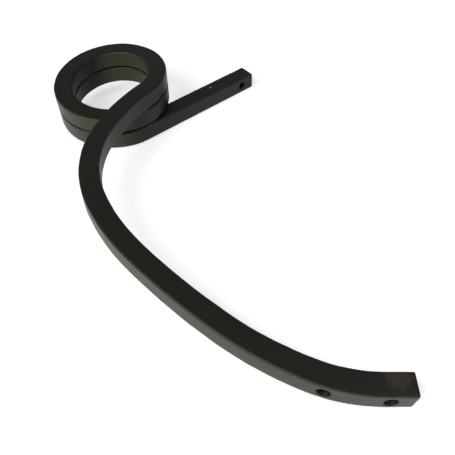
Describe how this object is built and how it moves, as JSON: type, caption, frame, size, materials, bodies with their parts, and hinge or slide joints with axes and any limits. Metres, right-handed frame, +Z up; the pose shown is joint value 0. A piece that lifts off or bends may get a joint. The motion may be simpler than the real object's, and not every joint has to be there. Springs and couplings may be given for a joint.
{
  "type": "cultivator spring tine",
  "caption": "One-piece pigtail spring tine of square steel bar: straight drilled mounting arm, close coil and a long curved leg drilled for a bolted share.",
  "frame": {"origin": "centre of the arm's bolt hole, in the middle of the bar", "axes": "+X along the level arm from the coil to the cut end, +Y along the arm's bolt hole from the leg's side to the coil's side, +Z up out of the coil, from the arm's turn to the leg's turn"},
  "size_m": [0.3802, 0.6559, 0.0783],
  "materials": {
    "painted_steel": "black semi-gloss paint over rolled spring steel"
  },
  "bodies": {
    "root": {"spring_tine": "painted_steel"}
  },
  "joints": []
}
